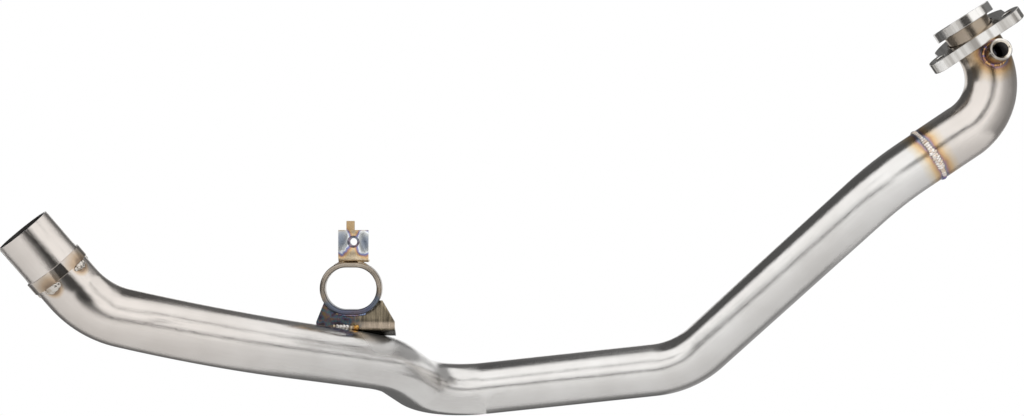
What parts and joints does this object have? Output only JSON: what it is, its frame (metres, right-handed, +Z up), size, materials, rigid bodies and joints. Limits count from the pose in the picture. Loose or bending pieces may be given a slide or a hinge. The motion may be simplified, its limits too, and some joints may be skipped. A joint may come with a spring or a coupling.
{
  "type": "motorcycle exhaust header",
  "caption": "Bent stainless exhaust header pipe with a loose stud flange at the port, a sensor bung, a hanger bracket with an oval ring, and a slip-on outlet.",
  "frame": {"origin": "centre of the collar's seating face, where the header meets the cylinder head", "axes": "+X to the front of the machine, +Y to the far side, +Z up, with the pipe as it hangs under an engine"},
  "size_m": [0.6804, 0.222, 0.2994],
  "materials": {
    "tube": "satin stainless tube",
    "machined": "turned stainless",
    "sheet": "heat-tinted brushed sheet",
    "bead": "rippled weld bead"
  },
  "bodies": {
    "pipe": {"head_tube": "tube", "main_tube": "tube", "stop_ring": "tube", "port_collar": "machined", "sensor_bung": "machined", "hanger_saddle": "sheet", "hanger_ring": "sheet", "hanger_tab": "sheet", "tab_nut": "machined", "joint_weld": "bead", "bung_weld": "bead", "stop_ring_tacks": "bead", "saddle_weld": "bead", "ring_weld": "bead", "tab_weld": "bead"},
    "flange": {"port_flange": "machined"}
  },
  "joints": [
    {"name": "flange_swivel", "type": "hinge", "parent": "pipe", "child": "flange", "pos_m": [0, 0, 0], "axis": [-0.5352, 0.0471, 0.8434], "continuous": true}
  ]
}
